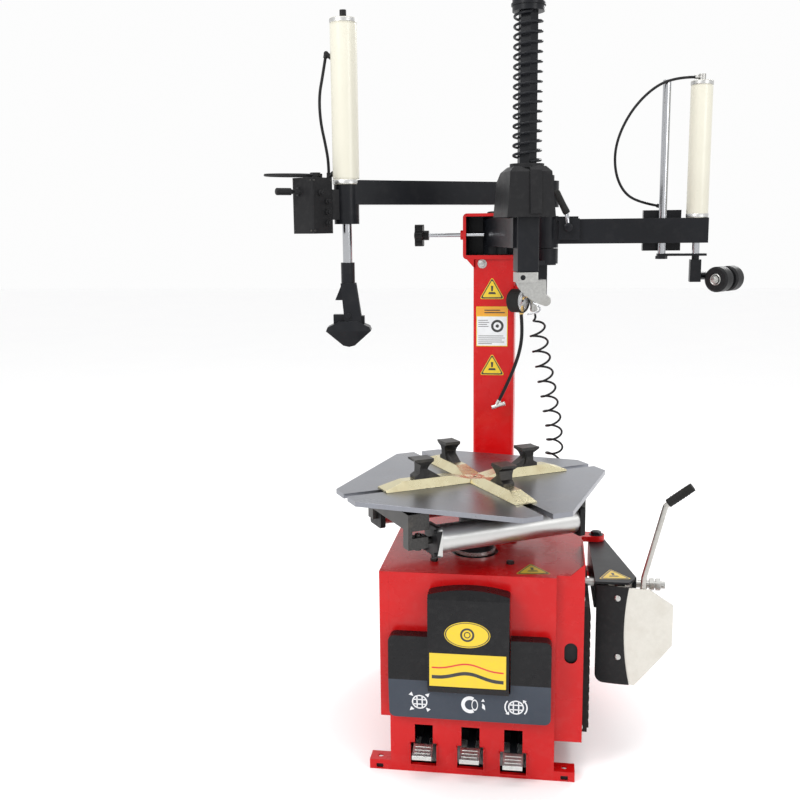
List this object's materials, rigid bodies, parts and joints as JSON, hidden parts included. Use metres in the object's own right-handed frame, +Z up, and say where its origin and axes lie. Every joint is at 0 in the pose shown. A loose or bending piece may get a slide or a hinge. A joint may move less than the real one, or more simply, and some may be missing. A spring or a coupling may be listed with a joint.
{
  "type": "tire changer",
  "caption": "Swing-arm tire changer with a clamping turntable, column and mount head, pneumatic assist arms, a side bead breaker and foot pedals.",
  "frame": {"origin": "on the floor, at the centre of the four anchor holes in the feet", "axes": "+Z up, -Y towards the operator (pedal side), +X towards the bead breaker"},
  "size_m": [1.3419, 1.0273, 1.96],
  "materials": {
    "red": "gloss",
    "black": "satin",
    "cream": "gloss",
    "panel_grey": "satin",
    "cast": "matte",
    "steel": "brushed",
    "zinc": "satin",
    "chrome": "polished",
    "silver": "satin",
    "brass": "satin",
    "cover": "semi-gloss",
    "plastic": "matte",
    "rubber": "matte"
  },
  "bodies": {
    "cabinet": {"base_frame": "red", "cabinet_shell": "red", "access_panel": "red", "right_side_box": "red", "front_cover": "cover", "cover_hood": "cover", "cabinet_bolts": "steel", "support_pad": "rubber", "gearbox": "cast", "drive_motor": "cast", "drive_belt": "rubber", "column": "red", "assist_post": "black", "breaker_cylinder": "silver", "inflator": "brass", "inflator_hose": "rubber", "hose_chuck": "brass", "coil_hose": "rubber"},
    "turntable": {"spindle": "steel", "turntable": "steel"},
    "worm_pulley": {"worm_pulley": "cast"},
    "motor_pulley": {"motor_pulley": "cast"},
    "clamp_1": {"slider_1": "zinc", "jaw_1": "black", "clamp_cylinder_1": "silver"},
    "clamp_2": {"slider_2": "zinc", "jaw_2": "black"},
    "clamp_3": {"slider_3": "zinc", "jaw_3": "black", "clamp_cylinder_2": "silver"},
    "clamp_4": {"slider_4": "zinc", "jaw_4": "black"},
    "sync_disc": {"sync_disc": "steel"},
    "swing_arm": {"swing_arm": "black", "lock_cover": "plastic", "return_spring": "black"},
    "mount_shaft": {"hex_shaft": "chrome", "mount_head": "steel"},
    "stop_screw": {"stop_screw": "black"},
    "left_arm": {"left_arm": "black", "left_cylinder": "cream", "control_box": "plastic", "left_hose": "rubber"},
    "left_rod": {"left_rod": "chrome"},
    "press_tool": {"press_tool": "black"},
    "control_lever": {"control_lever": "plastic"},
    "right_arm": {"right_arm": "black", "right_cylinder": "cream", "right_hose": "rubber"},
    "right_rod": {"right_rod": "chrome", "roller_holder": "steel"},
    "rollers": {"rollers": "plastic"},
    "arm_lock_lever": {"arm_lock_lever": "chrome"},
    "breaker_arm": {"breaker_arm": "black", "breaker_rod": "steel"},
    "breaker_blade": {"breaker_blade": "steel", "blade_guard": "plastic"},
    "pedal_1": {"pedal_1": "silver"},
    "pedal_2": {"pedal_2": "silver"},
    "pedal_3": {"pedal_3": "silver"}
  },
  "joints": [
    {"name": "turntable_spin", "type": "hinge", "parent": "cabinet", "child": "turntable", "pos_m": [-0.005, -0.183, 0.7], "axis": [0, 0, 1], "continuous": true},
    {"name": "worm_turn", "type": "hinge", "parent": "cabinet", "child": "worm_pulley", "pos_m": [-0.16, -0.111, 0.446], "axis": [1, 0, 0], "continuous": true},
    {"name": "motor_turn", "type": "hinge", "parent": "cabinet", "child": "motor_pulley", "pos_m": [-0.16, 0.138, 0.104], "axis": [1, 0, 0], "continuous": true},
    {"name": "clamp_slide_1", "type": "slide", "parent": "turntable", "child": "clamp_1", "axis": [0.848, 0.5299, 0], "range_m": [0, 0.11]},
    {"name": "clamp_slide_2", "type": "slide", "parent": "turntable", "child": "clamp_2", "axis": [-0.5299, 0.848, 0], "range_m": [0, 0.11]},
    {"name": "clamp_slide_3", "type": "slide", "parent": "turntable", "child": "clamp_3", "axis": [-0.848, -0.5299, 0], "range_m": [0, 0.11]},
    {"name": "clamp_slide_4", "type": "slide", "parent": "turntable", "child": "clamp_4", "axis": [0.5299, -0.848, 0], "range_m": [0, 0.11]},
    {"name": "sync_disc_turn", "type": "hinge", "parent": "turntable", "child": "sync_disc", "pos_m": [-0.005, -0.183, 0.668], "axis": [0, 0, 1], "range_deg": [-2, 47]},
    {"name": "arm_swing", "type": "hinge", "parent": "cabinet", "child": "swing_arm", "pos_m": [0.018, 0.29, 1.36], "axis": [0, 0, 1], "range_deg": [0, 60]},
    {"name": "shaft_slide", "type": "slide", "parent": "swing_arm", "child": "mount_shaft", "axis": [0, 0, 1], "range_m": [-0.21, 0], "stiffness_N_per_m": 600, "springref_m": 0.2, "deforming": ["return_spring"]},
    {"name": "stop_screw_turn", "type": "hinge", "parent": "cabinet", "child": "stop_screw", "pos_m": [-0.19, 0.242, 1.353], "axis": [1, 0, 0], "continuous": true},
    {"name": "left_arm_swing", "type": "hinge", "parent": "cabinet", "child": "left_arm", "pos_m": [0.165, 0.43, 1.47], "axis": [0, 0, 1], "range_deg": [-60, 28]},
    {"name": "left_rod_slide", "type": "slide", "parent": "left_arm", "child": "left_rod", "axis": [0, 0, 1], "range_m": [-0.23, 0]},
    {"name": "press_tool_turn", "type": "hinge", "parent": "left_rod", "child": "press_tool", "pos_m": [-0.37, 0.005, 1.25], "axis": [0, 0, 1], "range_deg": [-90, 90]},
    {"name": "control_lever_tilt", "type": "hinge", "parent": "left_arm", "child": "control_lever", "pos_m": [-0.4898, -0.09017, 1.474], "axis": [0.622, -0.783, 0], "range_deg": [-20, 20], "stiffness_Nm_per_rad": 1.5},
    {"name": "right_arm_swing", "type": "hinge", "parent": "cabinet", "child": "right_arm", "pos_m": [0.165, 0.43, 1.36], "axis": [0, 0, 1], "range_deg": [-30, 20]},
    {"name": "right_rod_slide", "type": "slide", "parent": "right_arm", "child": "right_rod", "axis": [0, 0, 1], "range_m": [-0.25, 0]},
    {"name": "rollers_turn", "type": "hinge", "parent": "right_rod", "child": "rollers", "pos_m": [0.702, 0.44, 1.213], "axis": [0.6, 0.8, 0], "continuous": true},
    {"name": "arm_lock_turn", "type": "hinge", "parent": "right_arm", "child": "arm_lock_lever", "pos_m": [0.232, 0.375, 1.372], "axis": [0, 1, 0], "range_deg": [0, 70]},
    {"name": "breaker_swing", "type": "hinge", "parent": "cabinet", "child": "breaker_arm", "pos_m": [0.322, 0.1, 0.44], "axis": [0, 0, 1], "range_deg": [0, 40]},
    {"name": "blade_tilt", "type": "hinge", "parent": "breaker_arm", "child": "breaker_blade", "pos_m": [0.372, -0.214, 0.44], "axis": [0, 0, 1], "range_deg": [-10, 10]},
    {"name": "pedal_1_press", "type": "hinge", "parent": "cabinet", "child": "pedal_1", "pos_m": [0, -0.175, 0.08], "axis": [1, 0, 0], "range_deg": [0, 6], "stiffness_Nm_per_rad": 120, "springref_deg": -3.44},
    {"name": "pedal_2_press", "type": "hinge", "parent": "cabinet", "child": "pedal_2", "pos_m": [0, -0.175, 0.08], "axis": [1, 0, 0], "range_deg": [0, 6], "stiffness_Nm_per_rad": 120, "springref_deg": -3.44},
    {"name": "pedal_3_press", "type": "hinge", "parent": "cabinet", "child": "pedal_3", "pos_m": [0, -0.175, 0.08], "axis": [1, 0, 0], "range_deg": [0, 6], "stiffness_Nm_per_rad": 120, "springref_deg": -3.44}
  ],
  "couplings": [
    {"joint": "worm_turn", "follows": "turntable_spin", "ratio": 75},
    {"joint": "motor_turn", "follows": "turntable_spin", "ratio": 200},
    {"joint": "clamp_slide_2", "follows": "clamp_slide_1", "ratio": 1},
    {"joint": "clamp_slide_3", "follows": "clamp_slide_1", "ratio": 1},
    {"joint": "clamp_slide_4", "follows": "clamp_slide_1", "ratio": 1},
    {"joint": "sync_disc_turn", "follows": "clamp_slide_1", "rad_per_m": 7.14}
  ]
}
